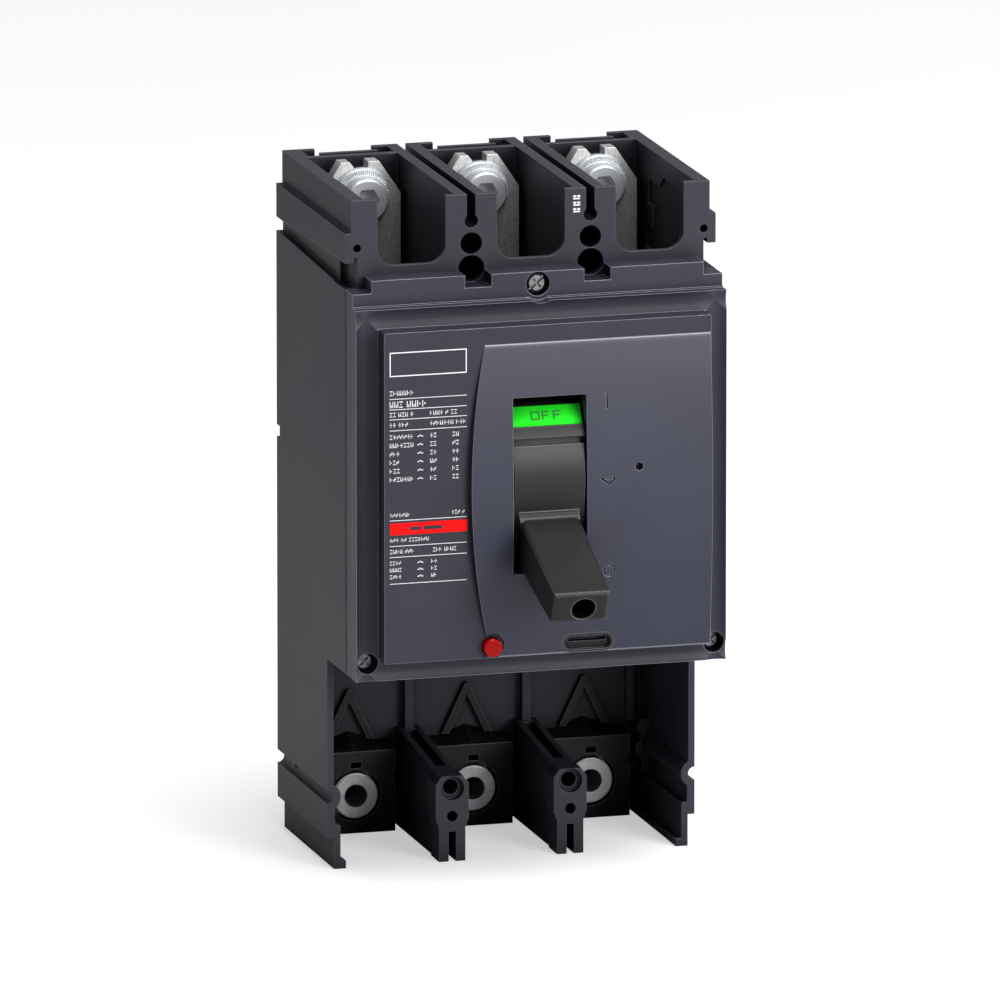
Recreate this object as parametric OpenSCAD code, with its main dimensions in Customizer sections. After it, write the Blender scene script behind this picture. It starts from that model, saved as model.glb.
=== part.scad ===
// Three-pole moulded-case circuit breaker with an open trip unit bay below its cover.
// +X is right, +Z is up, the front faces -Y; the origin is the centre of the back mounting plane.
// A depth below is the distance in front of that plane, so a depth d lies at y = -d.

/* [Case] */
// Width over the side walls
case_w = 140; // [139:0.5:141]
// Height of the case
case_h = 255; // [254.5:0.5:256]
// Distance between pole centres
pole_pitch = 45; // [44.8:0.1:45.2]
// Depth of the line terminal pockets' front
pocket_depth = 95; // [94:0.5:96]
// Depth of the bay's side walls and partitions
bay_depth = 69.2; // [68:0.2:70]
// Height of the case floor above the bay
floor_z = -48.2; // [-48.6:0.1:-48]
// Mounting hole radius
mount_r = 2.85; // [2.6:0.05:3]
// Half the height between the mounting holes
mount_z = 100; // [99.8:0.1:100.2]

/* [Front] */
// Depth of the mid frame's front
frame_depth = 104.4; // [104:0.1:104.6]
// Depth of the cover's rim
cover_depth = 110; // [109.5:0.1:110.5]
// Depth of the cover's raised panel
panel_depth = 118; // [117.5:0.1:118.2]
// Half width of the raised panel
panel_w = 61.7; // [61:0.1:62]
// Top of the raised panel
panel_top = 82.7; // [82:0.1:83]
// Bottom of the raised panel
panel_bot = -40.1; // [-40.5:0.1:-39.8]
// Crown of the escutcheon above the panel
crown = 3.4; // [2.8:0.1:3.8]
// Half width of the handle window
window_w = 13.9; // [13.8:0.1:14.2]

/* [Handle] */
// Depth of the handle's pivot
pivot_d = 71.6; // [71.4:0.1:71.8]
// Height of the handle's pivot
pivot_z = 23.8; // [23.6:0.1:24]
// Angle of the handle below level when off
rest_angle = 23; // [22.5:0.1:23.5]
// Length of the handle from its pivot
handle_len = 97.4; // [95:0.2:98]
// Outer radius of the handle's shield
shield_r = 49; // [48.6:0.1:49.2]

/* [Switching] */
// Depth of the rotor axis
rotor_d = 36; // [35.8:0.1:36.2]
// Height of the rotor axis
rotor_z = 22; // [21.8:0.1:22.2]
// Rotor radius
rotor_r = 17; // [16.6:0.1:17]
// Tilt of the moving contacts when off
contact_tilt = 16; // [15.5:0.5:16.5]
// Number of plates in each arc chute
arc_plates = 8; // [6:1:8]

/* [Hidden] */
hw = case_w / 2;
top_z = case_h / 2;
bot_z = -top_z;
poles = [-pole_pitch, 0, pole_pitch];
gaps = [-pole_pitch / 2, pole_pitch / 2];
unit_w = 17.5;          // half width of a pole unit
unit_front = 62.6;        // depth of a pole unit's front
drive_r = 14;           // radius of the drive rods about the rotor axis
rod_r = 2.4;            // drive rod radius
drive_off = [[-9, 10.7], [9, -10.7]];   // drive rods about the rotor axis, as [y, z]
knee = [70.26, -1.5];   // knee pin when off, as [depth, z]
pin_r = 2;              // link pin radius
play = 0.3;             // gap between parts that turn on each other
link_eye = [-0.6, -0.62, 3.25];     // lower link's hole from the knee pin: along, across, radius
spring_eye = [1.65, -0.9, 4.3];     // spring's eye from the knee pin: along, across, radius
handle_w = 10.5;        // half width of the handle's tip
handle_root = 11.3;     // half width of the handle's root
handle_round = 1.7;     // rounding of the handle's corners
root_fillet = 2.6;      // fillet between the shield and the handle's top face
root_v = 7.4 + root_fillet;
root_u = sqrt(pow(shield_r + root_fillet, 2) - root_v * root_v);
cradle_c = [94, 2];     // upper link pin on the cradle
cradle_p = [90, -8];    // cradle pivot
bar_p = [88, -27.5];    // trip bar axis
bar_r = 2.5;            // trip bar radius
button_p = [-21.5, -35.8];   // trip button, as [x, z]
button_seat = 108.4;    // depth of the seat for the button's spring
plug_p = [15, -36.4];   // oval plug, as [x, z]
top_screw_z = 94.9;     // cover's upper screw
low_screw = [65.5, -41.7];   // cover's lower screws, as [x, z]
bush_z = -113.2;        // load bush height
term_z = 114.3;         // line terminal screw height
term_d = 26.5;          // depth of the line terminal's face
bay_back = 6.5;         // depth of the bay's back wall
eps = 0.5;              // overrun of a cut past a face
big = 400;

// ---- helpers ----

// box between two x, two depths and two heights
module slab(x0, x1, d0, d1, z0, z1) {
    translate([x0, -d1, z0]) cube([x1 - x0, d1 - d0, z1 - z0]);
}
// round bar along the depth
module rod_y(x, z, d0, d1, r) {
    translate([x, -d0, z]) rotate([90, 0, 0]) cylinder(r = r, h = d1 - d0, $fn = 64);
}
// round bar along X
module rod_x(d, z, x0, x1, r, fn = 64) {
    translate([x0, -d, z]) rotate([0, 90, 0]) cylinder(r = r, h = x1 - x0, $fn = fn);
}
// front view profile extruded between two depths
module face(d0, d1) {
    translate([0, -d0, 0]) rotate([90, 0, 0]) linear_extrude(d1 - d0) children();
}
// side view profile, as [depth, z], extruded between two x
module side(x0, x1) {
    translate([x1, 0, 0]) rotate([90, 0, -90]) linear_extrude(x1 - x0) children();
}
// rounded rectangle
module rrect(x0, x1, z0, z1, r) {
    translate([x0 + r, z0]) square([x1 - x0 - 2 * r, z1 - z0]);
    translate([x0, z0 + r]) square([x1 - x0, z1 - z0 - 2 * r]);
    for (x = [x0 + r, x1 - r], z = [z0 + r, z1 - r]) translate([x, z]) circle(r, $fn = 48);
}
// both sides
module pair() {
    children();
    mirror([1, 0, 0]) children();
}
// at each pole
module at_poles() {
    for (x = poles) translate([x, 0, 0]) children();
}
// at each gap between poles
module at_gaps() {
    for (x = gaps) translate([x, 0, 0]) children();
}
// link plate between two [depth, z] points, with a hole at each
module link(a, b, x0, x1, w, ra, rb, wb = 0) {
    dd = b - a;
    len = norm(dd);
    ang = atan2(dd[1], dd[0]);
    we = wb > 0 ? wb : w;
    side(x0, x1) difference() {
        union() {
            translate(a) circle(w, $fn = 48);
            translate(b) circle(we, $fn = 48);
            translate(a) rotate(ang) translate([0, -w * 0.75]) square([len, w * 1.5]);
        }
        if (ra > 0) translate(a) circle(ra, $fn = 48);
        if (rb > 0) translate(b) circle(rb, $fn = 48);
    }
}
// handle's own frame: u forward from the pivot, v up, turned to the off position
module handle_side(x0, x1) {
    side(x0, x1) translate([pivot_d, pivot_z]) rotate(-rest_angle) children();
}
// ring sector between two radii and two angles
module sector(r0, r1, a0, a1) {
    difference() {
        intersection() {
            circle(r1, $fn = 180);
            polygon([[0, 0], for (i = [0:6]) 2 * r1 * [cos(a0 + (a1 - a0) * i / 6),
                sin(a0 + (a1 - a0) * i / 6)]]);
        }
        circle(r0, $fn = 180);
    }
}
// close coil drawn as one ribbed sleeve along X of the current frame
module coil(r, wire, len) {
    turns = floor(len / (wire * 1.25));
    rotate([0, 90, 0]) rotate_extrude($fn = 48) {
        translate([r - wire * 0.35, 0]) square([wire * 0.7, len]);
        for (i = [0:turns - 1]) translate([r, (i + 0.5) * len / turns]) circle(wire / 2, $fn = 16);
    }
}

// ---- case ----

module lower_wall() {
    difference() {
        union() {
            polygon([[67.6, floor_z + 1], [67.6, -95.3], [67.2, -98], [67.2, -110.8], [65, -111.3],
                [65, -124.6], [62.9, -124.6], [62.9, bot_z], [67.4, bot_z], [67.4, -115.6],
                [hw, -115.6], [hw, floor_z + 1]]);
            intersection() {
                translate([hw, -mount_z - 0.3]) circle(5.2, $fn = 48);
                translate([60, -110]) square([hw - 60, 20]);
            }
        }
        translate([hw, -mount_z - 0.3]) circle(2.5, $fn = 48);
    }
}
module bay_partition() {
    // wall with a sloping, grooved top
    difference() {
        side(-4.2, 4.2) polygon([[4, bot_z], [bay_depth - 1, bot_z], [bay_depth - 1, -95.4],
            [58, -95.4], [10, -90.4], [4, -90.4]]);
        side(-2, 2) polygon([[12, -93.2], [54, -97.6], [54, -80], [12, -80]]);
    }
    face(58, bay_depth) polygon([[-5, bot_z], [-5, -114.7], [-6.25, -111.6], [-6.25, -98.4],
        [-4, -95.4], [4, -95.4], [6.25, -98.4], [6.25, -111.6], [5, -114.7], [5, bot_z]]);
    slab(-1.6, 1.6, 4, 10.5, -91, floor_z + 1);
}
module case_outer() {
    face(0, pocket_depth) polygon([[-hw, floor_z], [-hw, 115.4], [-67.7, 115.4], [-67.7, top_z],
        [67.7, top_z], [67.7, 115.4], [hw, 115.4], [hw, floor_z]]);
    slab(-67.2, 67.2, 0, bay_back, bot_z, floor_z + 1);
    pair() face(0, bay_depth) lower_wall();
    at_gaps() bay_partition();
    // guide rails for the trip unit
    pair() {
        slab(61.2, 64, 4, 10, -93, -73.6);
        rod_y(62.6, -73.6, 4, 10, 1.4);
        face(4, 17) polygon([[63, -94.5], [64.6, -91.5], [68, -91.5], [68, -111], [65, -111],
            [65, -106], [62.8, -104.5], [62.8, -101], [64.8, -99.5], [64.8, -96.5], [63, -95.5]]);
    }
}
module pocket_opening() {
    rrect(-12.85, 12.85, 102.8, top_z + 20, 6.6);
}
module rear_case() {
    color([0.17, 0.17, 0.19]) difference() {
        case_outer();
        // mechanism and pole unit chamber, open to the front
        difference() {
            slab(-66.5, 66.5, 5.8, pocket_depth + eps, -44.6, 84.4);
            at_gaps() slab(-1.2, 1.2, 5, 60, -45, -12);
            at_gaps() slab(-1.2, 1.2, 5, 60, 56, 85);
            pair() face(76, pocket_depth + eps) polygon([[67, -45], [61.5, -45], [61.5, -37.5],
                [67, -34]]);
        }
        pair() rod_y(low_screw[0], low_screw[1], 82, pocket_depth + eps, 1.6);
        rod_y(0, top_screw_z, 81.6, pocket_depth + eps, 1.6);
        // line terminal pockets
        for (x = poles) {
            outer_l = x < 0 ? 17.6 : 16.75;
            outer_r = x > 0 ? 17.6 : 16.75;
            difference() {
                slab(x - outer_l, x + outer_r, 15.5, pocket_depth - 2.3, 86.4, top_z + eps);
                slab(-4.6, 4.6, 80.5, pocket_depth, 86, 98.4);
            }
            slab(x - 8.6, x + 8.6, 12.3, 16, 105.7, 122.9);
            slab(x - 12.3, x + 12.3, 19.8, 24.4, 83.9, 87);
            slab(x - 11, x + 11, -eps, 7.8, 96, top_z + eps);
            for (s = [-1, 1]) slab(x + s * 13.6 - 2.75, x + s * 13.6 + 2.75, 2.4, 13, 119, top_z + eps);
            slab(x - 11.5, x + 11.5, 9.6, 13, 123, top_z + eps);
        }
        at_poles() face(pocket_depth - 4, pocket_depth + eps) pocket_opening();
        // stepped recess in each outer wall of the pockets
        pair() side(62, 63.6) polygon([[30, 90], [30, 99], [40, 99], [40, 107], [33, 107], [33, 116],
            [47, 116], [52, 120], [84, 120], [84, 112], [74, 105], [74, 90]]);
        // slots, key holes, barrier holes and mounting holes between the poles
        at_gaps() {
            slab(-1.65, 1.65, -eps, pocket_depth + eps, 117.6, top_z + eps);
            rod_y(0, 117.6, -eps, pocket_depth + eps, 2.55);
            rod_y(0, 109.3, 12, pocket_depth + eps, 4.1);
            rod_y(0, mount_z, -eps, pocket_depth + eps, mount_r);
            rod_y(0, mount_z, 14, pocket_depth + eps, 4.95);
            rod_y(0, -mount_z, -eps, bay_depth + eps, mount_r);
            rod_y(0, -mount_z, bay_depth - 2.6, bay_depth + eps, 4.55);
            rod_y(0, -110.5, 50, bay_depth + eps, 2.05);
            slab(-1.4, 1.4, 34, bay_depth + eps, bot_z - eps, -116.3);
        }
        // side channels that take the edge mounting screws
        pair() {
            side(65.4, hw + eps) polygon([[79, 94.8], [pocket_depth + eps, 94.8],
                [pocket_depth + eps, 104.4], [79, 104.4]]);
            slab(65.4, 66.8, 79, pocket_depth + eps, 104, 106.2);
            side(67.5, hw + eps) polygon([[-eps, 97.7], [10, 97.7], [79.5, 95.2], [79.5, 104.4],
                [10, 102.9], [-eps, 102.9]]);
            rod_y(66.1 - 0.6, 109.8, 84, pocket_depth + eps, 1.5);
            slab(hw - 2.2, hw + eps, -eps, 4, 20.4, 24.9);
        }
        // channels for the load conductors
        at_poles() {
            slab(-12.3, 12.3, 1.6, 5.4, -125, -30);
            slab(-12.3, 12.3, 1.6, bay_back + eps, -125, -98.5);
        }
        // the main chamber reaches the load conductors above the floor
        at_poles() slab(-12.3, 12.3, 1.6, 7, -38, -30);
    }
}
module load_blocks() {
    color([0.14, 0.14, 0.16]) at_poles() difference() {
        union() {
            side(-15.3, 15.3) polygon([[bay_back, bot_z], [bay_back, -94.9], [17.2, -96.7],
                [17.2, bot_z]]);
            // gabled top
            polyhedron([[-11.5, -bay_back, -95.2], [11.5, -bay_back, -95.2], [0, -bay_back, -91.1],
                [0, -17, -96.9], [0, -bay_back, -97.5]],
                [[4, 1, 2, 0], [2, 3, 0], [1, 3, 2], [3, 4, 0], [4, 3, 1]]);
            // two leaning ribs up the back wall
            face(bay_back, 9) difference() {
                union() {
                    polygon([[-9.6, -94], [-1.1, -76.2], [1.1, -76.2], [9.6, -94]]);
                    translate([0, -76.3]) circle(1.15, $fn = 32);
                }
                polygon([[-7.1, -94.5], [0, -79.4], [7.1, -94.5]]);
            }
        }
        rod_y(0, bush_z, 5, 18, 9.7);
        slab(-1.8, 2.3, 9, 18, -102.9, -100.6);
        pair() slab(14.2, 16, 11, 18, -108, -104.6);
        pair() slab(14.2, 16, 11, 18, -120.5, -117);
    }
}
module load_bushes() {
    color([0.72, 0.73, 0.74]) at_poles() difference() {
        union() {
            rod_y(0, bush_z, 5.2, 17.4, 8.5);
            rod_y(0, bush_z, 17.4, 18, 8.1);
        }
        rod_y(0, bush_z, 5, 18.5, 4.3);
    }
}
module load_conductors() {
    color([0.75, 0.5, 0.36]) at_poles() difference() {
        union() {
            side(-12, 12) polygon([[1.8, -124], [5.2, -124], [5.2, -37], [54, -37], [54, 8],
                [50.6, 8], [50.6, -33.6], [1.8, -33.6]]);
        }
        rod_y(0, bush_z, 1, 6, 4.6);
    }
}
module terminal_outline() {
    polygon([[-15, 86.6], [15, 86.6], [15, 114.9], [6.8, 127.1], [2.7, 127.1], [2.7, 116],
        [-2.8, 116], [-2.8, 125.2], [-4.3, 127.1], [-7.6, 127.1], [-15, 114.9]]);
}
module line_conductors() {
    color([0.76, 0.76, 0.74]) at_poles() difference() {
        union() {
            face(20, term_d) terminal_outline();
            side(-12, 12) polygon([[20, 87], [24.2, 87], [24.2, 78], [21.4, 75], [21.4, 40],
                [17.4, 40], [17.4, 76.5], [20, 79.5]]);
        }
        rod_y(0, term_z, 19, 28, 5.3);
    }
}
module terminal_screws() {
    color([0.78, 0.79, 0.8]) at_poles() difference() {
        union() {
            rod_y(0, term_z, 12.6, 30.2, 4.9);
            rod_y(0, term_z, 29.9, 35, 8);
            translate([0, -35, term_z]) rotate([90, 0, 0]) cylinder(r1 = 8, r2 = 7.4, h = 0.6, $fn = 64);
        }
        translate([0, -30.6, term_z]) rotate([90, 0, 0]) cylinder(r = 4.62, h = 8, $fn = 6);
    }
}
module terminal_washers() {
    color([0.74, 0.75, 0.76]) at_poles() translate([0, -term_d, term_z]) rotate([90, 0, 0])
        difference() {
            union() {
                cylinder(r = 10.9, h = 0.9, $fn = 64);
                translate([0, 0, 0.9]) cylinder(r1 = 10.9, r2 = 8.6, h = 2.4, $fn = 64);
            }
            translate([0, 0, -1]) cylinder(r = 5.1, h = 6, $fn = 64);
            // radial serrations
            for (a = [0:10:350]) rotate(a) translate([9.5, -0.12, 1.6]) cube([1.6, 0.24, 2]);
        }
}
module terminal_nuts() {
    color([0.7, 0.7, 0.7]) at_poles() difference() {
        slab(-8.4, 8.4, 12.5, 19.9, 105.9, 122.7);
        rod_y(0, term_z, 12, 20.5, 5);
    }
}

// ---- front ----

module screw_scallop(r, d0, d1) {
    rod_y(0, top_screw_z, d0, d1, r);
}
module mid_frame() {
    color([0.17, 0.17, 0.19]) difference() {
        face(pocket_depth, frame_depth) polygon([[-hw + 0.2, floor_z], [-hw + 0.2, 94.8],
            [-62.7, 94.8], [-62.7, 99.5], [62.7, 99.5], [62.7, 94.8], [hw - 0.2, 94.8],
            [hw - 0.2, floor_z]]);
        // opening for the mechanism, with corners kept for the cover screws
        face(pocket_depth - eps, frame_depth + eps) polygon([[-61, -34], [-54, -42], [54, -42],
            [61, -34], [61, 78], [56, 84], [12, 84], [9, 87.5], [-9, 87.5], [-12, 84], [-56, 84],
            [-61, 78]]);
        at_gaps() slab(-5, 5, pocket_depth - eps, frame_depth + eps, 94.9, 100);
        screw_scallop(4.5, 98.4, frame_depth + eps);
        screw_scallop(2.2, pocket_depth - eps, 99);
        pair() rod_y(low_screw[0], low_screw[1], 100, frame_depth + eps, 3.9);
        pair() rod_y(low_screw[0], low_screw[1], pocket_depth - eps, 101, 2.2);
    }
}
module cover_gutter(x0, x1, z0, z1) {
    // shallow concave gutter between the rim and the raised panel
    r = 8;
    d = cover_depth + 6.5;
    difference() {
        union() {
            for (x = [x0, x1]) translate([x, -d, z0 - 4]) cylinder(r = r, h = z1 - z0 + 8, $fn = 96);
            for (z = [z0, z1]) rod_x(d, z, x0 - 4, x1 + 4, r, 96);
        }
        slab(-panel_w, panel_w, 0, big, panel_bot, panel_top);
    }
}
module front_cover() {
    color([0.18, 0.18, 0.2]) difference() {
        union() {
            difference() {
                union() {
                    slab(-hw, hw, frame_depth, cover_depth, floor_z, 89.7);
                    slab(-hw + 0.2, hw - 0.2, frame_depth, frame_depth + 0.9, floor_z, 90.4);
                }
                cover_gutter(-66, 66, -44.4, 86.4);
            }
            face(cover_depth - 3, panel_depth) rrect(-panel_w, panel_w, panel_bot, panel_top, 0.8);
        }
        // hollow back
        slab(-58, 58, frame_depth - eps, 106.6, -34, 76);
        slab(-54, 54, frame_depth - eps, 114.6, -26, 74);
        // handle window and the sweep of the handle's shield
        face(frame_depth, panel_depth + eps) rrect(-window_w, window_w, -9, 56.4, 0.6);
        rod_x(pivot_d, pivot_z, -14.1, 14.1, shield_r + 2.6, 180);
        // screws, button, plug and seal
        screw_scallop(5.6, frame_depth - eps, 106);
        screw_scallop(6.2, 105, cover_depth + eps);
        pair() rod_y(low_screw[0], low_screw[1], frame_depth - eps, 130, 3.9);
        rod_y(button_p[0], button_p[1], button_seat, panel_depth + eps, 3.85);
        rod_y(button_p[0], button_p[1], frame_depth - eps, panel_depth, 1.85);
        face(panel_depth - 6, panel_depth + eps) plug_shape(0);
    }
}
module plug_shape(grow) {
    translate(plug_p) rrect(-9.7 - grow, 9.7 + grow, -3.5 - grow, 3.5 + grow, 3.4 + grow);
}
module escutcheon_shape() {
    difference() {
        intersection() {
            translate([-40, panel_bot + 0.1]) square([40 + panel_w - 0.3, 76.4 - panel_bot]);
            translate([215.3, 23]) circle(245, $fn = 720);
        }
        rrect(-window_w, window_w, -9, 56.4, 0.6);
        translate(button_p) circle(4.9, $fn = 48);
        plug_shape(0);
    }
}
module symbol_on() translate([21.3, 50.6]) square([0.85, 5.8]);
module symbol_off() translate([22.4, -9.6]) difference() {
    circle(2.25, $fn = 32);
    circle(1.75, $fn = 32);
}
module symbol_trip() difference() {
    polygon([[18.6, 25.1], [22, 22.3], [25.4, 25.1]]);
    polygon([[20, 24.7], [22, 23], [24, 24.7]]);
}
module escutcheon() {
    // gently crowned from top to bottom
    reach = 58.3;
    r = (reach * reach + crown * crown) / (2 * crown);
    color([0.2, 0.2, 0.22]) difference() {
        intersection() {
            face(panel_depth, panel_depth + crown + 1) escutcheon_shape();
            side(-45, 70) polygon([for (i = [-21:21]) [panel_depth + crown - r
                + sqrt(r * r - pow(reach * i / 20, 2)), 18.1 + reach * i / 20]]);
        }
        face(panel_depth + 1.6, panel_depth + 8) {
            symbol_on();
            symbol_off();
            symbol_trip();
        }
        rod_y(33.5, 28.6, panel_depth + 0.8, panel_depth + 8, 1.5);
    }
}
module aux_plug() {
    color([0.12, 0.12, 0.13]) difference() {
        union() {
            face(panel_depth - 6, panel_depth - 1.5) plug_shape(-0.15);
            face(panel_depth - 6, panel_depth + 0.5) difference() {
                plug_shape(-0.15);
                plug_shape(-0.9);
            }
        }
        slab(plug_p[0] - 7, plug_p[0] + 7.2, panel_depth - 5, panel_depth + 1, plug_p[1] + 0.2,
            plug_p[1] + 1.6);
    }
}
module mark(x, z, w, h) translate([x, z]) square([w, h]);
module rating_print() {
    // blank field, bars and rules stand in for the printed words
    color([0.9, 0.9, 0.9]) {
        face(panel_depth, panel_depth + 0.12) {
            difference() {
                mark(-59.7, 66.6, 29, 9);
                mark(-59.3, 67, 28.2, 8.2);
            }
            mark(-59.7, 59.6, 12, 1.7);
            for (z = [58.2, 54.3, 50.6, 46.5, 13.1, 3.6, -0.5, -10.4]) mark(-59.7, z, 29, 0.28);
            mark(-59.7, 55.1, 17, 2.2);
            for (x = [-59.7, -44.5]) mark(x, 51.6, 12, 1.6);
            for (x = [-59.7, -54.4]) mark(x, 47.8, 4, 1.6);
            mark(-44.5, 47.8, 12.4, 1.6);
            for (i = [0:5]) {
                mark(-59.7, 43.4 - 3.15 * i, i == 0 || i == 1 || i == 5 ? 9.5 : 4.6, 1.6);
                mark(-49.2, 44 - 3.15 * i, 2.4, 0.4);
                mark(-44.5, 43.4 - 3.15 * i, 3, 1.6);
                mark(-36.3, 43.4 - 3.15 * i, 3, 1.6);
            }
            mark(-59.7, 14.4, 9, 1.4);
            mark(-36.5, 14.4, 6, 1.4);
            mark(-59.7, 5.2, 18, 1.4);
            mark(-59.7, 1, 14, 1.4);
            mark(-43.5, 1, 10.5, 1.4);
            for (i = [0:2]) {
                mark(-59.7, -3.2 - 2.6 * i, 6, 1.4);
                mark(-49.2, -2.8 - 2.6 * i, 2.4, 0.4);
                mark(-44.2, -3.2 - 2.6 * i, 3, 1.4);
            }
        }
        face(pocket_depth, pocket_depth + 0.12) for (i = [0:2]) mark(16, 118.6 + 2.4 * i, 2.6, 1.5);
    }
}
module rating_band() {
    color([0.85, 0.05, 0.05]) face(panel_depth, panel_depth + 0.12) difference() {
        mark(-59.6, 7.8, 29.1, 4.4);
        mark(-52, 9.3, 4, 1.4);
        mark(-47, 9.3, 7, 1.4);
    }
}
module screw_head(x, z, d, r, h) {
    difference() {
        union() {
            rod_y(x, z, d, d + h * 0.6, r);
            translate([x, -d - h * 0.6, z]) rotate([90, 0, 0])
                cylinder(r1 = r, r2 = r * 0.72, h = h * 0.4, $fn = 64);
        }
        translate([x, -d - h, z]) rotate([0, -43, 0]) {
            cube([2 * r + 1, 2.2, 0.9], center = true);
            cube([0.8, 2.2, r * 1.1], center = true);
        }
    }
}
module cover_screws() {
    color([0.45, 0.46, 0.47]) pair() {
        screw_head(low_screw[0], low_screw[1], 101.1, 3.6, 2.6);
        rod_y(low_screw[0], low_screw[1], 84, 101.4, 1.55);
    }
}
module top_screw() {
    color([0.7, 0.72, 0.73]) {
        screw_head(0, top_screw_z, 99.1, 3.9, 3.6);
        rod_y(0, top_screw_z, 82, 99.4, 1.55);
    }
}

// ---- poles ----

module pole_unit(x) {
    color([0.8, 0.78, 0.7]) translate([x, 0, 0]) difference() {
        slab(-unit_w, unit_w, bay_back, unit_front, -42, 84);
        slab(-14.4, 14.4, 9.5, 60.5, -39, 81.4);
        rod_x(rotor_d, rotor_z, -unit_w - 1, unit_w + 1, rotor_r + play);
        slab(-12.2, 12.2, 5, 12, -38, -32.6);
        slab(-12.3, 12.3, 16.8, 24.6, 80, 86);
        // gas vents towards the front
        for (z = [66, 74, -30]) slab(-9, 9, 58, 66, z, z + 4);
    }
}
module fixed_tips() {
    color([0.82, 0.8, 0.78]) at_poles() {
        slab(-6, 6, 21.4, 22.9, 41, 49);
        slab(-6, 6, 49.1, 50.6, -5.5, 2.5);
    }
}
module arc_plate(z0, z1, notch_z) {
    difference() {
        slab(-12.9, 12.9, 0, 1.2, z0, z1);
        face(-1, 2) polygon([[-6, notch_z], [0, (z0 + z1) / 2], [6, notch_z]]);
    }
}
module arc_plates_upper() {
    color([0.5, 0.52, 0.55]) at_poles() for (i = [0:arc_plates - 1])
        translate([0, -27 - 4 * i, 0]) arc_plate(52, 80, 51.9);
}
module arc_plates_lower() {
    color([0.5, 0.52, 0.55]) at_poles() for (i = [0:arc_plates - 1])
        translate([0, -15 - 4 * i, 0]) arc_plate(-32, -8.5, -8.4);
}
module arc_cheeks() {
    color([0.75, 0.7, 0.6]) at_poles() pair() {
        slab(13, 14.3, 25, 60, 50, 81);
        slab(13, 14.3, 12, 48, -32.4, -8);
    }
}
// frame turned with the moving contacts: child y and z follow the rotor
module on_rotor() {
    translate([0, -rotor_d, rotor_z]) rotate([contact_tilt, 0, 0]) children();
}
module rotor(x) {
    color([0.3, 0.22, 0.16]) translate([x, 0, 0]) difference() {
        rod_x(rotor_d, rotor_z, -unit_w + 0.2, unit_w - 0.2, rotor_r);
        on_rotor() translate([-7.4, -6.4, -30]) cube([14.8, 12.8, 60]);
        for (p = drive_off) rod_x(rotor_d - p[0], rotor_z + p[1], -20, 20, rod_r + 0.05);
    }
}
module moving_contacts() {
    color([0.76, 0.52, 0.38]) at_poles() on_rotor() translate([-5.5, -2.9, -27])
        cube([11, 5.8, 54]);
}
module moving_tips() {
    color([0.85, 0.85, 0.85]) at_poles() on_rotor() {
        translate([-5.5, 2.9, 20]) cube([11, 1.2, 7]);
        translate([-5.5, -4.1, -27]) cube([11, 1.2, 7]);
    }
}
module contact_springs() {
    color([0.6, 0.62, 0.64]) at_poles() on_rotor() for (s = [-1, 1])
        translate([-6.5, s * -4.7, s * 8]) coil(1, 1, 13);
}
module drive_rods() {
    color([0.7, 0.71, 0.72]) for (p = drive_off)
        rod_x(rotor_d - p[0], rotor_z + p[1], -60, 60, rod_r);
}

// ---- mechanism ----

module mech_plate() {
    side(18.3, 19.8) difference() {
        polygon([[64.3, -16], [80, -16], [82, -33], [94, -33], [96, -14], [99.5, -6], [99.5, 5],
            [90, 9.5], [81, 22], [79, 44], [64.3, 44]]);
        polygon([[66.6, -6], [75.5, -6], [77.5, 16.8], [66.6, 16.8]]);
        translate([pivot_d, pivot_z]) circle(2.55, $fn = 48);
        translate(cradle_p) circle(pin_r + 0.05, $fn = 48);
        translate(bar_p) circle(bar_r + play, $fn = 48);
    }
}
module mech_frame() {
    color([0.62, 0.63, 0.65]) {
        pair() mech_plate();
        difference() {
            slab(-19, 19, 64.1, 65.6, -14, 42);
            slab(-12, 12, 63, 67, -11, 34);
        }
    }
}
module mech_pins() {
    color([0.7, 0.71, 0.72]) pair() {
        rod_x(pivot_d, pivot_z, 18, 27, 2.5);
        rod_x(pivot_d, pivot_z, 26.2, 27, 3.8);
    }
}
module cradle() {
    color([0.6, 0.61, 0.63]) {
        pair() side(13.4, 15.3) difference() {
            polygon([[86, -24.6], [89, -24.6], [92, -16], [94.5, -8], [98, 0], [98, 5], [91, 5],
                [86, -5]]);
            translate(cradle_p) circle(pin_r + 0.05, $fn = 48);
            translate(cradle_c) circle(pin_r + 0.05, $fn = 48);
        }
        slab(-14, 14, 86, 89, -15.5, -12.5);
    }
}
module cradle_pins() {
    color([0.7, 0.71, 0.72]) {
        rod_x(cradle_p[0], cradle_p[1], -20.4, 20.4, pin_r);
        rod_x(cradle_c[0], cradle_c[1], -17.9, 17.9, pin_r);
    }
}
module upper_links() {
    color([0.64, 0.65, 0.67]) pair() link(cradle_c, knee, 15.6, 17.4, 4.4, pin_r + play, pin_r + 0.05);
}
module knee_pin() {
    color([0.7, 0.71, 0.72]) rod_x(knee[0], knee[1], -23.2, 23.2, pin_r);
}
module lower_links() {
    d = [rotor_d - drive_off[0][0], rotor_z + drive_off[0][1]];
    dd = knee - d;
    color([0.64, 0.65, 0.67]) pair() difference() {
        link(d, knee, 20.6, 22.6, 4.9, rod_r + play, 0, 6);
        side(20, 23) translate(knee) rotate(atan2(dd[1], dd[0]))
            translate([link_eye[0], link_eye[1]]) circle(link_eye[2], $fn = 48);
    }
}
module handle_yoke() {
    color([0.62, 0.63, 0.65]) {
        pair() handle_side(24, 25.6) difference() {
            union() {
                circle(6.5, $fn = 48);
                translate([0, -4]) square([31.2, 11]);
            }
            circle(2.5 + play, $fn = 48);
            translate([26, 0]) circle(pin_r + 0.05, $fn = 48);
        }
        handle_side(-25, 25) translate([29.8, -3]) square([1.4, 10]);
    }
}
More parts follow.
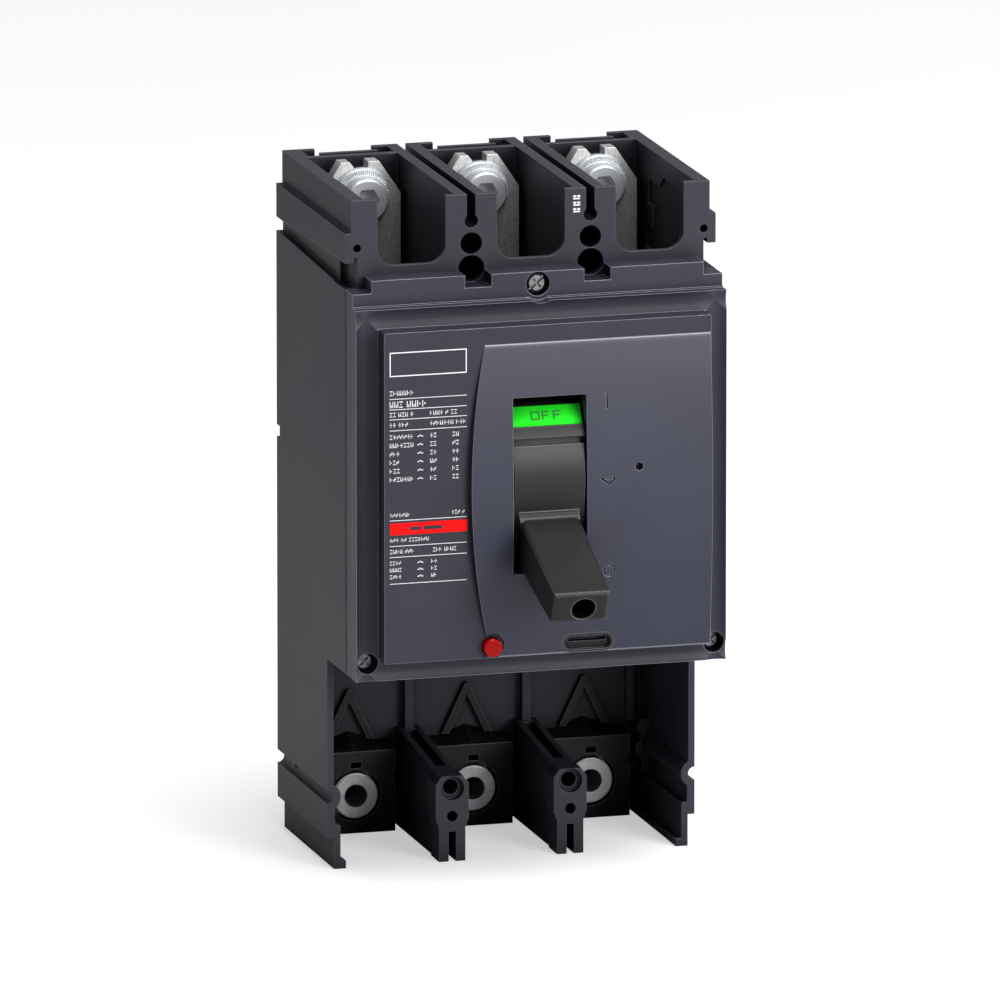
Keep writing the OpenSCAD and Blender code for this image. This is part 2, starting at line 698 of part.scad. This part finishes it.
module spring_pin() {
    color([0.7, 0.71, 0.72]) handle_side(-26, 26) translate([26, 0]) circle(pin_r, $fn = 48);
}
module main_springs() {
    s = [pivot_d + 26 * cos(rest_angle), pivot_z - 26 * sin(rest_angle)];
    dd = knee - s;
    len = norm(dd);
    ang = atan2(dd[1], dd[0]);
    color([0.55, 0.57, 0.6]) pair() {
        side(5.2, 6.4) difference() {
            union() {
                translate(s) circle(3.4, $fn = 48);
                translate(knee) rotate(ang) {
                    translate([spring_eye[0], spring_eye[1]]) circle(spring_eye[2] + 0.8, $fn = 48);
                    translate([-9, -0.7]) square([6.4, 1.4]);
                    translate([-9, -2.3]) square([1.4, 4.6]);
                }
                translate(s) rotate(ang) {
                    translate([2.8, -0.7]) square([5, 1.4]);
                    translate([6.4, -2.3]) square([1.4, 4.6]);
                }
            }
            translate(s) circle(pin_r + play, $fn = 48);
            translate(knee) rotate(ang) translate([spring_eye[0], spring_eye[1]])
                circle(spring_eye[2], $fn = 48);
        }
        translate([5.8, -s[0], s[1]]) rotate([-ang, 0, 0]) translate([0, -6.4, 0]) rotate([0, 0, -90])
            coil(2.4, 1.1, len - 14.2);
    }
}
module handle_frame() {
    translate([0, -pivot_d, pivot_z]) rotate([rest_angle, 0, 0]) children();
}
module handle_bar() {
    // bar that tapers in both views, with rounded corners
    intersection() {
        handle_side(-handle_root, handle_root) {
            polygon([[46, -11.4], [46, 7.4], [handle_len - 1.4, 7.4], [handle_len, 6],
                [handle_len, -3.8], [handle_len - 1.6, -5.3]]);
            translate([handle_len - 1.5, 5.9]) circle(1.5, $fn = 48);
            translate([handle_len - 1.5, -3.7]) circle(1.5, $fn = 48);
        }
        handle_frame() rotate([90, 0, 0]) linear_extrude(handle_len + 1)
            rrect(-handle_root, handle_root, -30, 7.4, handle_round);
        handle_frame() translate([0, -47, -11.2]) rotate([-6.7, 0, 0]) rotate([90, 0, 0])
            translate([0, 0, -6]) linear_extrude(70)
                rrect(-handle_root, handle_root, 0, 40, handle_round);
        handle_frame() translate([0, 0, -30]) linear_extrude(60) {
            polygon([[-handle_root, -46], [handle_root, -46], [handle_w, -handle_len + handle_round],
                [handle_w - handle_round, -handle_len], [handle_round - handle_w, -handle_len],
                [-handle_w, -handle_len + handle_round]]);
            for (s = [-1, 1]) translate([s * (handle_w - handle_round), handle_round - handle_len])
                circle(handle_round, $fn = 48);
        }
    }
}
module handle() {
    color([0.15, 0.15, 0.155]) difference() {
        union() {
            // stem behind the shield
            handle_side(-8, 8) translate([31.2, -6.5]) square([17.4, 13]);
            handle_bar();
            // fillet that carries the shield's curve onto the handle
            handle_side(-handle_root, handle_root) difference() {
                translate([46, 4]) square([root_u - 46, root_v - 4 - 0.5]);
                translate([root_u, root_v]) circle(root_fillet, $fn = 64);
                circle(46.6, $fn = 180);
            }
        }
        // socket for an extension
        handle_frame() translate([0.9, -handle_len - 1, 0.6]) rotate([-90, 0, 0])
            cylinder(r = 4.5, h = 16, $fn = 48);
    }
}
module handle_shield() {
    color([0.2, 0.2, 0.2]) difference() {
        union() {
            handle_side(-13.3, 13.3) sector(46.4, shield_r, -62, 39.8);
            handle_side(-13.3, 13.3) sector(45.6, 47.4, 38, 58);
            handle_side(-13.5, 13.5) sector(46, shield_r + 1.2, 42.8, 47.7);
        }
        handle_side(-8, 8) translate([30, -6.5]) square([30, 13]);
        handle_side(-handle_root, handle_root) translate([46, -11.4]) square([30, root_v - 0.4 + 11.4]);
    }
}
module position_flag() {
    color([0.13, 0.9, 0.13]) handle_side(-13.3, 13.3) sector(47.5, 49.6, 48.1, 57);
}
module flag_print() {
    // generic off word, printed on the flag
    color([0.2, 0.45, 0.2]) intersection() {
        handle_side(-12, 12) sector(49.6, 49.75, 48.2, 56.9);
        translate([0, -pivot_d, pivot_z]) rotate([rest_angle - 52.5, 0, 0])
            translate([0, -47, 0]) rotate([90, 0, 0]) linear_extrude(5) {
                difference() {
                    translate([-5.6, -1.6]) square([3.2, 3.2]);
                    translate([-5.2, -1.2]) square([2.4, 2.4]);
                }
                for (x = [-1.4, 2.8]) translate([x, 0]) {
                    translate([0, -1.6]) square([0.4, 3.2]);
                    translate([0, 1.2]) square([2.8, 0.4]);
                    translate([0, -0.2]) square([2.2, 0.4]);
                }
            }
    }
}
module trip_bar() {
    color([0.85, 0.83, 0.75]) {
        difference() {
            rod_x(bar_p[0], bar_p[1], -60, 60, bar_r);
            slab(-16.5, 16.5, bar_p[0] - 3, bar_p[0] - 0.6, bar_p[1] - 0.2, bar_p[1] + 3);
        }
        slab(-24.8, -20.4, bar_p[0] - 1, bar_p[0] + 5.4, -39.5, -26.5);
        for (x = poles) slab(x - 2.5, x + 2.5, bar_p[0] - 1.4, bar_p[0] + 1.4, -40, -27.5);
    }
}
module trip_button() {
    color([0.8, 0.03, 0.03]) {
        difference() {
            union() {
                rod_y(button_p[0], button_p[1], 113, 121.2, 3.4);
                translate([button_p[0], -121.2, button_p[1]]) rotate([90, 0, 0])
                    cylinder(r1 = 3.4, r2 = 2.9, h = 0.5, $fn = 64);
            }
            rod_y(button_p[0], button_p[1], 112.5, 119.4, 2.75);
        }
        rod_y(button_p[0], button_p[1], 94, 120, 1.5);
    }
}
module button_spring() {
    color([0.6, 0.62, 0.64]) translate([button_p[0], -button_seat, button_p[1]]) rotate([0, 0, -90])
        coil(2.1, 0.7, 7.8);
}

rear_case();
mid_frame();
front_cover();
escutcheon();
aux_plug();
rating_print();
rating_band();
cover_screws();
top_screw();
line_conductors();
terminal_screws();
terminal_washers();
terminal_nuts();
load_conductors();
load_bushes();
load_blocks();
pole_unit(poles[0]);  // pole_unit_left
pole_unit(poles[1]);  // pole_unit_centre
pole_unit(poles[2]);  // pole_unit_right
fixed_tips();
arc_plates_upper();
arc_plates_lower();
arc_cheeks();
mech_frame();
mech_pins();
cradle();
cradle_pins();
handle();
handle_shield();
position_flag();
flag_print();
handle_yoke();
spring_pin();
main_springs();
upper_links();
knee_pin();
lower_links();
rotor(poles[0]);  // rotor_left
rotor(poles[1]);  // rotor_centre
rotor(poles[2]);  // rotor_right
moving_contacts();
moving_tips();
contact_springs();
drive_rods();
trip_bar();
trip_button();
button_spring();
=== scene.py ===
"""Looks for a three-pole moulded-case breaker: moulded thermoset case, printed plate, plated terminals."""

import math
import random

import bmesh
import bpy
from mathutils import Matrix, Vector


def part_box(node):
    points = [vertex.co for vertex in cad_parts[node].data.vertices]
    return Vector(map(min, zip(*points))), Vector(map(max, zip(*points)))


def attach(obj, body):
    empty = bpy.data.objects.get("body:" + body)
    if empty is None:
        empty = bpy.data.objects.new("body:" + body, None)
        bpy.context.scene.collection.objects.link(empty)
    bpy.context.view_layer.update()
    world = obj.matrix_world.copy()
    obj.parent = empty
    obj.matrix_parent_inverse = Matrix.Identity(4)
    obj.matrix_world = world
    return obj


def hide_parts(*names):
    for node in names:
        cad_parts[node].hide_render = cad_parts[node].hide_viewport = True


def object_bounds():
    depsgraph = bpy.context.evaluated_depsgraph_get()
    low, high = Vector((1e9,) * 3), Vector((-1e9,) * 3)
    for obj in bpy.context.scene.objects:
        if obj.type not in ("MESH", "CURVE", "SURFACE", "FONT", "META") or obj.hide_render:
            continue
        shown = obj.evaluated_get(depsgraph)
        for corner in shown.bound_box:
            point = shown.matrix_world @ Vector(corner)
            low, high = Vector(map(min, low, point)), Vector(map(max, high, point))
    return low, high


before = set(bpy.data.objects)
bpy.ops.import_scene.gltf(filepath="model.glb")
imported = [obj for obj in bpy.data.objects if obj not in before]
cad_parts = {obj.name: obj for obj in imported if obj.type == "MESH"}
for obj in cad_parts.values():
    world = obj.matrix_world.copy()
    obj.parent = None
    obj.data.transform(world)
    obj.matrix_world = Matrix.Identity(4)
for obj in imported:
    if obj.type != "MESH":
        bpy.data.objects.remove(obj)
cad_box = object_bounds()
MM = 0.001
BUMP_DEPTH = 0.2 * MM
HOLLOW_REACH = 30 * MM


# ---------------------------------------------------------------- colours and shader nodes


def srgb(code):
    """sRGB hex to a linear RGBA colour."""
    parts = [int(code[i : i + 2], 16) / 255 for i in (1, 3, 5)]
    return tuple(p / 12.92 if p <= 0.04045 else ((p + 0.055) / 1.055) ** 2.4 for p in parts) + (1,)


def add(tree, kind, values=None, links=None, **settings):
    """Adds one shader node; links maps an input to (node, output)."""
    node = tree.nodes.new("ShaderNode" + kind)
    for key, value in settings.items():
        setattr(node, key, value)
    for key, value in (values or {}).items():
        node.inputs[key].default_value = value
    for key, (source, output) in (links or {}).items():
        tree.links.new(source.outputs[output], node.inputs[key])
    return node


def new_material(name):
    material = bpy.data.materials.new(name)
    material.use_nodes = True
    tree = material.node_tree
    tree.nodes.clear()
    return material, tree


def stops(node, *pairs):
    """Sets a colour ramp's stops from (position, colour) pairs."""
    ramp = node.color_ramp
    while len(ramp.elements) > 1:
        ramp.elements.remove(ramp.elements[-1])
    ramp.elements[0].position, ramp.elements[0].color = pairs[0]
    for position, colour in pairs[1:]:
        ramp.elements.new(position).color = colour


def edge_mask(tree, radius, low=0.004, high=0.12):
    """White on edges within radius of a corner, black on flat faces."""
    rounded = add(tree, "Bevel", {"Radius": radius}, samples=6)
    flat = add(tree, "NewGeometry")
    dot = add(tree, "VectorMath", links={0: (rounded, "Normal"), 1: (flat, "Normal")},
              operation="DOT_PRODUCT")
    away = add(tree, "Math", {0: 1.0}, {1: (dot, "Value")}, operation="SUBTRACT")
    mask = add(tree, "MapRange", {"From Min": low, "From Max": high}, {"Value": (away, 0)})
    return rounded, mask


# Glass-filled polyester, compression moulded against a fine spark-eroded tool. It gives the eye a dark
# anthracite with a broad dull sheen, a faint cloudiness, painted highlights on the corners and painted
# shade in deep hollows. radius and grain are in mm.
def moulded_case(name, base, pale, corner, rough=0.48, radius=0.45, relief=0.05, gloss=0.3):
    grain = 0.35
    material, tree = new_material(name)
    where = add(tree, "TexCoord")
    cloud = add(tree, "TexNoise", {"Scale": 22, "Detail": 4, "Roughness": 0.6},
                {"Vector": (where, "Object")})
    mixed = add(tree, "ValToRGB", links={"Fac": (cloud, "Fac")})
    stops(mixed, (0.35, srgb(base)), (0.7, srgb(pale)))
    # spark grain, drawn coarser than the real one, which is nearer 0.1 mm
    spark = add(tree, "TexNoise", {"Scale": 1 / (grain * MM), "Detail": 3, "Roughness": 0.65},
                {"Vector": (where, "Object")})
    rounded, mask = edge_mask(tree, radius * MM)
    speck = add(tree, "MapRange", {"From Min": 0.3, "From Max": 0.7, "To Min": 0.9, "To Max": 1.08},
                {"Value": (spark, "Fac")})
    # painted shade: ambient occlusion darkens deep hollows nearly to black and dims their gloss
    hollow = add(tree, "AmbientOcclusion", {"Distance": HOLLOW_REACH}, samples=5)
    painted_hollow_shade = add(tree, "MapRange", {"From Min": 0.25, "From Max": 0.72, "To Min": 0.22, "To Max": 1.0},
                   {"Value": (hollow, "AO")})
    grain_and_painted_shade = add(tree, "Math", links={0: (speck, 0), 1: (painted_hollow_shade, 0)}, operation="MULTIPLY")
    # painted shade on the reflections: the gloss falls with the occlusion
    gloss_under_painted_shade = add(tree, "Math", {1: gloss}, {0: (painted_hollow_shade, 0)}, operation="MULTIPLY")
    tinted = add(tree, "VectorMath", links={0: (mixed, "Color"), 1: (grain_and_painted_shade, 0)}, operation="MULTIPLY")
    # painted highlight: the edge mask blends in the paler corner colour, so corners read as thin bright
    # lines
    painted_edge_highlight = add(tree, "MixRGB", {"Color2": srgb(corner)}, {"Fac": (mask, 0), "Color1": (tinted, 0)})
    dull = add(tree, "MapRange", {"To Min": rough - 0.05, "To Max": rough + 0.07},
               {"Value": (cloud, "Fac")})
    # handling polishes the corners, so they catch thin bright lines
    sheen = add(tree, "Math", {1: -0.18}, {0: (mask, 0), 2: (dull, 0)}, operation="MULTIPLY_ADD")
    bumps = add(tree, "Bump", {"Strength": relief, "Distance": BUMP_DEPTH},
                {"Height": (spark, "Fac"), "Normal": (rounded, "Normal")})
    shader = add(tree, "BsdfPrincipled", {"IOR": 1.5},
                 {"Base Color": (painted_edge_highlight, "Color"), "Roughness": (sheen, 0), "Normal": (bumps, "Normal"),
                  "Specular IOR Level": (gloss_under_painted_shade, 0)})
    add(tree, "OutputMaterial", links={"Surface": (shader, 0)})
    return material


# Zinc-plated or tinned metal. It gives the eye a pale cool grey with soft mottled reflections and
# corners where the mottle is rubbed bright.
def plated_metal(name, base, dark, rough=0.32, scale=900, radius=0.25, relief=0.12, stretch=(1, 1, 1)):
    material, tree = new_material(name)
    where = add(tree, "TexCoord")
    pulled = add(tree, "Mapping", {"Scale": stretch}, {"Vector": (where, "Object")})
    mottle = add(tree, "TexNoise", {"Scale": scale, "Detail": 5, "Roughness": 0.7}, {"Vector": (pulled, 0)})
    tone = add(tree, "ValToRGB", links={"Fac": (mottle, "Fac")})
    stops(tone, (0.3, srgb(dark)), (0.62, srgb(base)))
    rounded, mask = edge_mask(tree, radius * MM)
    worn = add(tree, "MixRGB", {"Color2": srgb(base)}, {"Fac": (mask, 0), "Color1": (tone, "Color")})
    dull = add(tree, "MapRange", {"To Min": rough + 0.12, "To Max": rough - 0.06},
               {"Value": (mottle, "Fac")})
    bumps = add(tree, "Bump", {"Strength": relief, "Distance": BUMP_DEPTH},
                {"Height": (mottle, "Fac"), "Normal": (rounded, "Normal")})
    shader = add(tree, "BsdfPrincipled", {"Metallic": 0.92},
                 {"Base Color": (worn, "Color"), "Roughness": (dull, 0), "Normal": (bumps, "Normal")})
    add(tree, "OutputMaterial", links={"Surface": (shader, 0)})
    return material


# Pad-printed ink. It gives the eye a flat, slightly uneven film that is duller than the plastic below.
def ink(name, base, pale, rough=0.6):
    material, tree = new_material(name)
    where = add(tree, "TexCoord")
    film = add(tree, "TexNoise", {"Scale": 1400, "Detail": 3}, {"Vector": (where, "Object")})
    tone = add(tree, "ValToRGB", links={"Fac": (film, "Fac")})
    stops(tone, (0.3, srgb(base)), (0.6, srgb(pale)))
    bumps = add(tree, "Bump", {"Strength": 0.08, "Distance": BUMP_DEPTH / 2}, {"Height": (film, "Fac")})
    shader = add(tree, "BsdfPrincipled", {"Roughness": rough, "IOR": 1.48, "Specular IOR Level": 0.15},
                 {"Base Color": (tone, "Color"), "Normal": (bumps, "Normal")})
    add(tree, "OutputMaterial", links={"Surface": (shader, 0)})
    return material


LOOKS = {
    "case": moulded_case("case_polyester", "#2a2b34", "#2f303a", "#545561", radius=0.4),
    "frame": moulded_case("mid_frame_polyester", "#2d2e39", "#32333f", "#a0a1ae", rough=0.42, radius=0.35),
    "cover": moulded_case("cover_polyamide", "#292a35", "#2e2f3b", "#9293a0", rough=0.4, radius=0.35),
    "panel": moulded_case("panel_polyamide", "#262739", "#2b2c3f", "#8e8f9e",
                          rough=0.34, radius=0.35, gloss=0.5),
    # painted shade: the bay look is a much darker copy of the case plastic, for the shade in the load bay
    "bay": moulded_case("bay_block_polyester", "#0f0f12", "#131317", "#7c7d86", rough=0.42, radius=0.35),
    "handle": moulded_case("handle_polyamide", "#191919", "#1e1e1e", "#6c6c6d", rough=0.33, radius=1.0),
    "shield": moulded_case("shield_polyamide", "#1c1c1c", "#202020", "#747474", rough=0.3, gloss=0.34),
    "green": moulded_case("flag_green_polyamide", "#22fc26", "#28ff2c", "#48ff48",
                          rough=0.5, relief=0.02, gloss=0.1),
    "red": moulded_case("button_red_polyamide", "#960202", "#a00303", "#e02020",
                        rough=0.25, relief=0.02, gloss=0.15),
    "insulator": moulded_case("pole_housing_polyester", "#b9b3a2", "#c4bfae", "#d8d4c6", rough=0.55),
    "rotor": moulded_case("rotor_phenolic", "#3a2a22", "#47342a", "#5c463a", rough=0.45),
    "zinc": plated_metal("zinc_plated_steel", "#dadce0", "#bfc2c7", rough=0.44, relief=0.05, scale=1600),
    "steel": plated_metal("turned_steel", "#c2c3c5", "#a6a7a9", rough=0.38, relief=0.05),
    "dark_zinc": plated_metal("oiled_zinc_screw", "#8a8b8d", "#6c6d70", rough=0.4),
    "tin": plated_metal("tinned_copper", "#dededd", "#aeaeae",
                        rough=0.45, scale=1500, stretch=(1, 1, 0.35)),
    "copper": plated_metal("bare_copper", "#d98f68", "#a8623f", rough=0.3, scale=300),
    "silver": plated_metal("silver_contact", "#e2e2df", "#b5b4b0", rough=0.3, scale=1500),
    "wire": plated_metal("spring_wire", "#a9abae", "#6d6f72", rough=0.3, scale=1600),
    "white_ink": ink("white_ink", "#d8d8da", "#ececee"),
    "red_ink": ink("red_ink", "#f20204", "#fe0406"),
    "green_ink": ink("grey_green_ink", "#3c6a3c", "#467846"),
}
FINISH = {
    "case": ["rear_case"],
    "frame": ["mid_frame"],
    "cover": ["front_cover"],
    "panel": ["escutcheon"],
    "bay": ["load_blocks", "aux_plug"],
    "handle": ["handle"],
    "shield": ["handle_shield"],
    "green": ["position_flag"],
    "red": ["trip_button"],
    "insulator": ["pole_unit_left", "pole_unit_centre", "pole_unit_right", "arc_cheeks", "trip_bar"],
    "rotor": ["rotor_left", "rotor_centre", "rotor_right"],
    "dark_zinc": ["cover_screws", "top_screw"],
    "zinc": ["terminal_screws", "terminal_washers", "terminal_nuts",
             "arc_plates_upper", "arc_plates_lower", "mech_frame", "mech_pins", "cradle", "cradle_pins",
             "handle_yoke", "spring_pin", "upper_links", "knee_pin", "lower_links", "drive_rods"],
    "tin": ["line_conductors", "load_conductors"],
    "steel": ["load_bushes"],
    "copper": ["moving_contacts"],
    "silver": ["fixed_tips", "moving_tips"],
    "wire": ["main_springs", "contact_springs", "button_spring"],
    "white_ink": ["rating_print"],
    "red_ink": ["rating_band"],
    "green_ink": ["flag_print"],
}
for look, nodes in FINISH.items():
    for name in nodes:
        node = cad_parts[name]
        if not node.material_slots:
            node.data.materials.append(LOOKS[look])
        for held in node.material_slots:
            held.material = LOOKS[look]

# ---------------------------------------------------------------- pieces made here


def finish_piece(name, bm, look, body, slot, *stands_for):
    """Turns a bmesh into a piece that rides on a body in place of CAD nodes."""
    bmesh.ops.recalc_face_normals(bm, faces=bm.faces)
    mesh = bpy.data.meshes.new(name)
    bm.to_mesh(mesh)
    bm.free()
    mesh.materials.append(LOOKS[look])
    piece = bpy.data.objects.new(name, mesh)
    bpy.context.collection.objects.link(piece)
    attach(piece, body)
    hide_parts(*stands_for)
    return piece


def block(bm, low, high):
    """Adds a box between two corners."""
    made = bmesh.ops.create_cube(bm, size=1)["verts"]
    size = [high[i] - low[i] for i in range(3)]
    middle = [(high[i] + low[i]) / 2 for i in range(3)]
    for vert in made:
        vert.co = Vector([vert.co[i] * size[i] + middle[i] for i in range(3)])


# Each mark is a few small blocks in a unit cell. A row of them reads as print and spells nothing.
CELLS = [
    [(0, 0, 0.2, 1), (0.5, 0.36, 0.8, 0.62)],
    [(0, 0.84, 1, 1), (0, 0, 1, 0.16), (0.38, 0.4, 0.62, 0.6)],
    [(0, 0.42, 1, 0.58), (0.38, 0.74, 0.62, 1), (0.38, 0, 0.62, 0.26)],
    [(0, 0, 0.2, 0.62), (0.8, 0.38, 1, 1), (0.4, 0.2, 0.6, 0.8)],
    [(0, 0, 0.2, 1), (0.4, 0, 0.6, 0.45), (0.8, 0, 1, 1)],
]
# rows of words on the plate: left edge, bottom, height, marks in each word (mm from the plate's corner)
WORDS = [
    (0, 70.0, 1.7, [7]), (0, 65.5, 2.3, [3, 4]), (0, 62.1, 1.6, [2, 3, 1]), (15.2, 62.1, 1.6, [4, 1, 2]),
    (0, 58.3, 1.6, [2, 3]), (15.2, 58.3, 1.6, [7, 3]), (0, 24.9, 1.4, [7]), (23.4, 24.9, 1.4, [3, 1]),
    (0, 15.6, 1.4, [3, 2, 7]), (0, 11.3, 1.5, [4, 3]), (16.3, 11.3, 1.5, [3, 4]),
]
UPPER_TABLE = [3.15 * line for line in range(6)]
LOWER_TABLE = [2.55 * line for line in range(3)]
LONG_LINES = (0, 1, 5)
for line, drop in enumerate(UPPER_TABLE):
    at = 53.8 - drop
    WORDS += [(0, at, 1.6, [7 if line in LONG_LINES else 3]), (15.2, at, 1.6, [2]), (23.6, at, 1.6, [2])]
for drop in LOWER_TABLE:
    WORDS += [(0, 7.1 - drop, 1.4, [4]), (15.6, 7.1 - drop, 1.4, [2])]
RULES = [68.6, 64.7, 61.0, 56.9, 23.5, 14.0, 9.9, 0.0]
PLATE_WIDE, RULE, FILM = 29, 0.22, 0.11
# the blank field: bottom, height and line width
FIELD_LOW, FIELD_TALL, FIELD_LINE = 77, 9, 0.4


def rating_marks():
    """The rating plate's print: a blank field, ruled lines and rows of abstract marks."""
    low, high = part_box("rating_print")
    pick = random.Random(7)
    bm = bmesh.new()

    def flat(x, z, w, h):
        """A mark on the plate, in mm from its corner."""
        block(bm, (low.x + x * MM, low.y, low.z + z * MM),
              (low.x + (x + w) * MM, low.y + FILM * MM, low.z + (z + h) * MM))

    for z in (FIELD_LOW, FIELD_LOW + FIELD_TALL - FIELD_LINE):
        flat(0, z, PLATE_WIDE, FIELD_LINE)
    for x in (0, PLATE_WIDE - FIELD_LINE):
        flat(x, FIELD_LOW + FIELD_LINE, FIELD_LINE, FIELD_TALL - 2 * FIELD_LINE)
    for z in RULES:
        flat(0, z, PLATE_WIDE, RULE)
    for x, z, height, words in WORDS:
        for count in words:
            for _ in range(count):
                wide = height * pick.uniform(0.55, 0.68)
                for x0, z0, x1, z1 in pick.choice(CELLS):
                    flat(x + x0 * wide, z + z0 * height, (x1 - x0) * wide, (z1 - z0) * height)
                x += wide + height * 0.2
            x += height * 0.45
    # the alternating current signs, as three short steps
    for z in [54.5 - drop for drop in UPPER_TABLE] + [7.6 - drop for drop in LOWER_TABLE]:
        for x, rise in ((10.4, -0.15), (11.1, 0.2), (11.8, -0.15)):
            flat(x, z + rise, 0.8, 0.3)

    # three groups of blocks on the partition, in place of its printed figure; each block is given
    # as left, right (mm in from the right), bottom and top (mm above the group's foot)
    for step in range(3):
        foot = high.z - (6.3 - 2.4 * step) * MM
        for left, right, under, over in ((2.6, 0, 0, 0.5), (2.6, 1.5, 0.8, 1.5), (1.1, 0, 0.8, 1.5)):
            block(bm, (high.x - left * MM, high.y - 0.1 * MM, foot + under * MM),
                  (high.x - right * MM, high.y, foot + over * MM))
    finish_piece("rating_marks", bm, "white_ink", "base", "print_white", "rating_print")


def toothed_washers():
    """Conical washers with a ring of fine radial teeth under each screw's head."""
    low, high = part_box("terminal_washers")
    radius = (high.z - low.z) / 2
    turns, per_tooth = 216, 3
    # radius, height above the conductor, and how deep the teeth cut there (mm)
    rings = [(5.15, 0.05, 0), (5.15, 3.2, 0), (8.4, 3.1, 0), (8.6, 3.0, 0.7), (10.0, 2.35, 0.7),
             (10.15, 2.25, 0), (10.6, 1.6, 0), (10.75, 1.2, 0), (radius / MM, 0.85, 0),
             (radius / MM, 0.15, 0), (10.7, 0.05, 0)]
    bm = bmesh.new()
    for x in (low.x + radius, 0, high.x - radius):
        loops = []
        for r, h, cut in rings:
            loop = []
            for i in range(turns):
                a = 2 * math.pi * i / turns
                drop = cut if i % per_tooth == 0 else 0
                loop.append(bm.verts.new((x + r * MM * math.cos(a), high.y - (h - drop) * MM,
                                          (low.z + high.z) / 2 + r * MM * math.sin(a))))
            loops.append(loop)
        for inner, outer in zip(loops, loops[1:] + loops[:1]):
            for i in range(turns):
                bm.faces.new((inner[i], inner[i - 1], outer[i - 1], outer[i]))
    finish_piece("toothed_washers", bm, "zinc", "base", "zinc_steel", "terminal_washers")


rating_marks()
toothed_washers()

# ---------------------------------------------------------------- stage, light and camera


def stage_floor():
    low, reach = cad_box[0][2], 8
    mesh = bpy.data.meshes.new("floor")
    corners = [(-reach, -reach, low), (reach, -reach, low), (reach, reach, low), (-reach, reach, low)]
    mesh.from_pydata(corners, [], [(0, 1, 2, 3)])
    floor = bpy.data.objects.new("floor", mesh)
    bpy.context.collection.objects.link(floor)
    material, tree = new_material("pale_floor")
    where = add(tree, "TexCoord")
    cloud = add(tree, "TexNoise", {"Scale": 3, "Detail": 2}, {"Vector": (where, "Object")})
    tone = add(tree, "ValToRGB", links={"Fac": (cloud, "Fac")})
    stops(tone, (0.3, srgb("#cccccc")), (0.7, srgb("#d2d2d2")))
    # seen directly, the paper glows a little, so its far end stays as pale as its middle
    seen = add(tree, "LightPath")
    glow = add(tree, "Math", {1: 0.5}, {0: (seen, "Is Camera Ray")}, operation="MULTIPLY")
    shader = add(tree, "BsdfPrincipled", {"Roughness": 0.9, "Emission Color": srgb("#ffffff")},
                 {"Base Color": (tone, "Color"), "Emission Strength": (glow, 0)})
    add(tree, "OutputMaterial", links={"Surface": (shader, 0)})
    mesh.materials.append(material)


def soft_light(name, place, aim, size, power):
    """A square softbox, size in metres and power in watts."""
    lamp = bpy.data.lights.new(name, "AREA")
    lamp.shape = "SQUARE"
    lamp.size, lamp.energy = size, power
    holder = bpy.data.objects.new(name, lamp)
    holder.location = place
    holder.rotation_euler = (Vector(aim) - Vector(place)).to_track_quat("-Z", "Y").to_euler()
    bpy.context.collection.objects.link(holder)


def studio():
    world = bpy.data.worlds.new("studio_white")
    bpy.context.scene.world = world
    world.use_nodes = True
    tree = world.node_tree
    back = tree.nodes["Background"]
    back.inputs["Color"].default_value = srgb("#ffffff")
    # the backdrop is full white to look at and dimmer as a light, like paper well behind the object
    seen = add(tree, "LightPath")
    level = add(tree, "MapRange", {"To Min": 0.36, "To Max": 1.0}, {"Value": (seen, "Is Camera Ray")})
    tree.links.new(level.outputs[0], back.inputs["Strength"])
    soft_light("key_front_right", (1.3, -2.5, 0.8), (0, 0, 0), 1.3, 50)
    soft_light("top_soft", (0.3, -0.7, 1.9), (0, -0.05, 0), 1.2, 44)
    bpy.context.scene.view_settings.view_transform = "Standard"


EYE = (-2.04705, -7.27577, 1.68746)
EYE_RIGHT = Vector((0.962097, -0.272709, 0))
EYE_UP = Vector((0.059692, 0.210590, 0.975750))
FOCAL_MM = 756.2


def camera():
    lens = bpy.data.cameras.new("view")
    lens.sensor_width, lens.lens = 36, FOCAL_MM
    lens.clip_start, lens.clip_end = 0.1, 100
    holder = bpy.data.objects.new("view", lens)
    turn = Matrix((EYE_RIGHT, EYE_UP, EYE_RIGHT.cross(EYE_UP))).transposed()
    holder.matrix_world = Matrix.Translation(EYE) @ turn.to_4x4()
    bpy.context.collection.objects.link(holder)
    bpy.context.scene.camera = holder


stage_floor()
studio()
camera()
